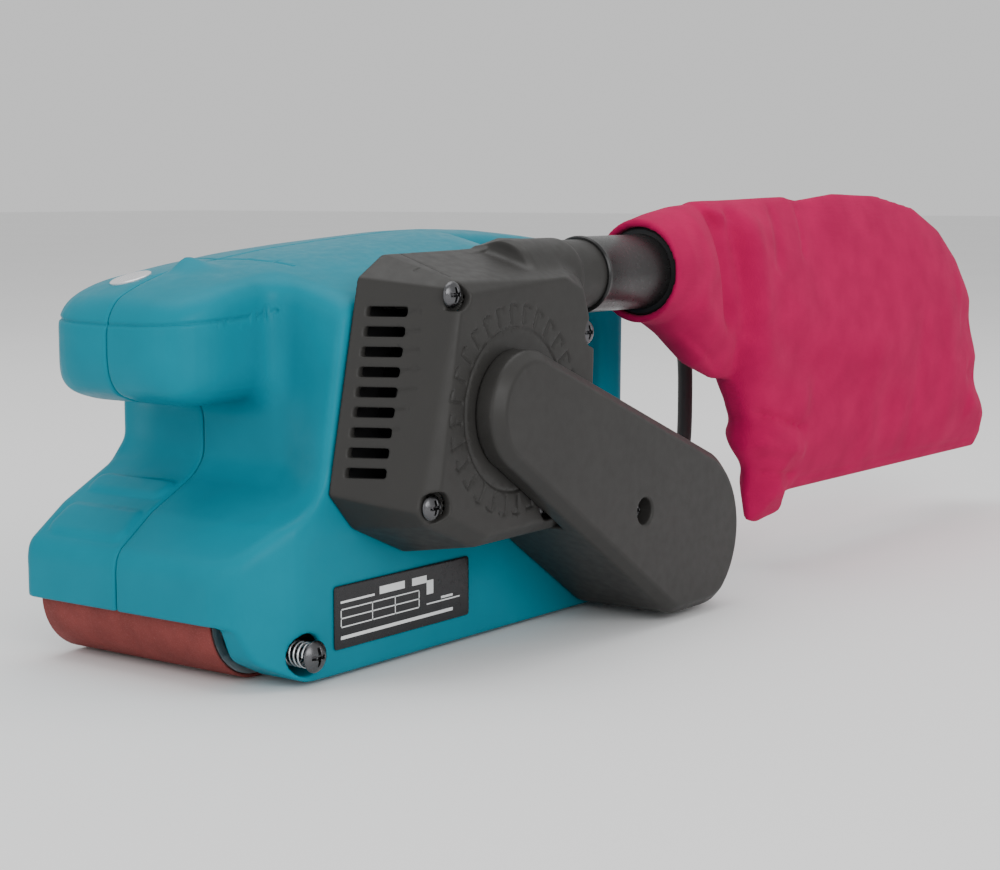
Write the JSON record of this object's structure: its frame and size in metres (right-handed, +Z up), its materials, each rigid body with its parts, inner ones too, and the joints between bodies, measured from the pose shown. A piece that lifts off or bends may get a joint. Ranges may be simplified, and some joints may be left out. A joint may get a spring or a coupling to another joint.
{
  "type": "belt sander",
  "caption": "Handheld electric belt sander with a front knob, rear D-shaped grip, side belt-drive cover, mains lead and cloth dust bag.",
  "frame": {"origin": "centre of the flat sanding face, on the surface that the belt rests on", "axes": "+X towards the rear grip, +Y towards the open belt-change side, +Z up; the drive side with its covers is -Y"},
  "size_m": [0.5068, 0.2778, 0.151],
  "materials": {
    "teal_plastic": "satin moulded",
    "charcoal_plastic": "satin moulded",
    "black_rubber": "satin",
    "gloss_rubber": "gloss",
    "steel": "turned",
    "screw_steel": "plated",
    "cast_aluminium": "as cast",
    "plate_print": "gloss",
    "badge_silver": "metallic film",
    "abrasive": "abrasive grit on cloth",
    "cork": "matt",
    "graphite": "matt",
    "copper": "enamelled",
    "brass": "plain",
    "laminated_steel": "laminated",
    "carbon": "matt",
    "moulded_black": "satin",
    "circuit": "potted",
    "bag_cloth": "woven",
    "cord_rubber": "satin"
  },
  "bodies": {
    "root": {"housing_left": "teal_plastic", "housing_right": "teal_plastic", "housing_screws": "screw_steel", "fan_cover": "charcoal_plastic", "fan_cover_screws": "screw_steel", "belt_cover": "charcoal_plastic", "belt_cover_screw": "screw_steel", "rating_plate": "plate_print", "knob_badge": "badge_silver", "main_frame": "cast_aluminium", "platen_pad": "cork", "platen_plate": "steel", "graphite_sheet": "graphite", "platen_screws": "steel", "sanding_belt": "abrasive", "drive_bearings": "steel", "drive_belt": "black_rubber", "lever_pin": "steel", "tracking_spring": "steel", "motor_bearings": "steel", "stator_core": "laminated_steel", "stator_windings": "copper", "fan_baffle": "moulded_black", "brush_holders": "brass", "carbon_brushes": "carbon", "trigger_pin": "steel", "trigger_spring": "steel", "switch_body": "moulded_black", "speed_controller": "circuit", "cord_guard": "cord_rubber", "cord": "cord_rubber", "cord_coil": "cord_rubber", "plug_body": "cord_rubber", "plug_pins": "steel"},
    "drive_train": {"drive_shaft": "steel", "drive_roller_core": "cast_aluminium", "drive_roller_tyre": "black_rubber", "large_pulley": "steel", "pulley_nut": "steel"},
    "armature": {"armature_shaft": "steel", "armature_core": "laminated_steel", "commutator": "copper", "armature_windings": "copper", "cooling_fan": "moulded_black", "small_pulley": "steel"},
    "carriage": {"roller_fork": "steel", "front_axle": "steel", "tension_spring": "steel"},
    "front_wheel": {"front_roller": "cast_aluminium", "front_roller_bearings": "steel"},
    "release_lever": {"tension_lever": "steel"},
    "trigger_body": {"trigger": "charcoal_plastic"},
    "lock": {"lock_button": "charcoal_plastic"},
    "dial": {"speed_dial": "charcoal_plastic"},
    "tracker": {"tracking_screw": "screw_steel"},
    "bag": {"dust_bag": "bag_cloth", "bag_neck": "gloss_rubber", "bag_collar": "moulded_black"}
  },
  "joints": [
    {"name": "drive_roller_spin", "type": "hinge", "parent": "root", "child": "drive_train", "pos_m": [0.0805, 0, 0.0235], "axis": [0, 1, 0], "continuous": true},
    {"name": "motor_spin", "type": "hinge", "parent": "root", "child": "armature", "pos_m": [-0.017, 0, 0.082], "axis": [0, 1, 0], "continuous": true},
    {"name": "fork_slide", "type": "slide", "parent": "root", "child": "carriage", "axis": [1, 0, 0], "range_m": [0, 0.006]},
    {"name": "front_roller_spin", "type": "hinge", "parent": "carriage", "child": "front_wheel", "pos_m": [-0.0805, 0, 0.0205], "axis": [0, 1, 0], "continuous": true},
    {"name": "lever_swing", "type": "hinge", "parent": "root", "child": "release_lever", "pos_m": [0.018, 0.032, 0.021], "axis": [0, 0, -1], "range_deg": [0, 90]},
    {"name": "trigger_pull", "type": "hinge", "parent": "root", "child": "trigger_body", "pos_m": [0.068, 0, 0.11], "axis": [0, -1, 0], "range_deg": [0, 7], "stiffness_Nm_per_rad": 0.4, "springref_deg": -11.46, "deforming": ["trigger_spring"]},
    {"name": "lock_press", "type": "slide", "parent": "root", "child": "lock", "axis": [0, 1, 0], "range_m": [0, 0.0025], "stiffness_N_per_m": 400, "springref_m": -0.001},
    {"name": "dial_turn", "type": "hinge", "parent": "root", "child": "dial", "pos_m": [0.042, 0, 0.09], "axis": [0, 1, 0], "range_deg": [0, 270]},
    {"name": "tracking_turn", "type": "hinge", "parent": "root", "child": "tracker", "pos_m": [-0.0815, -0.063, 0.01], "axis": [0, -1, 0], "range_deg": [-180, 180]},
    {"name": "bag_pull", "type": "slide", "parent": "root", "child": "bag", "axis": [1, 0, 0], "range_m": [0, 0.045]}
  ],
  "couplings": [
    {"joint": "motor_spin", "follows": "drive_roller_spin", "ratio": 2.8261},
    {"joint": "front_roller_spin", "follows": "drive_roller_spin", "ratio": 1.15},
    {"joint": "lever_swing", "follows": "fork_slide", "rad_per_m": 261.8}
  ]
}
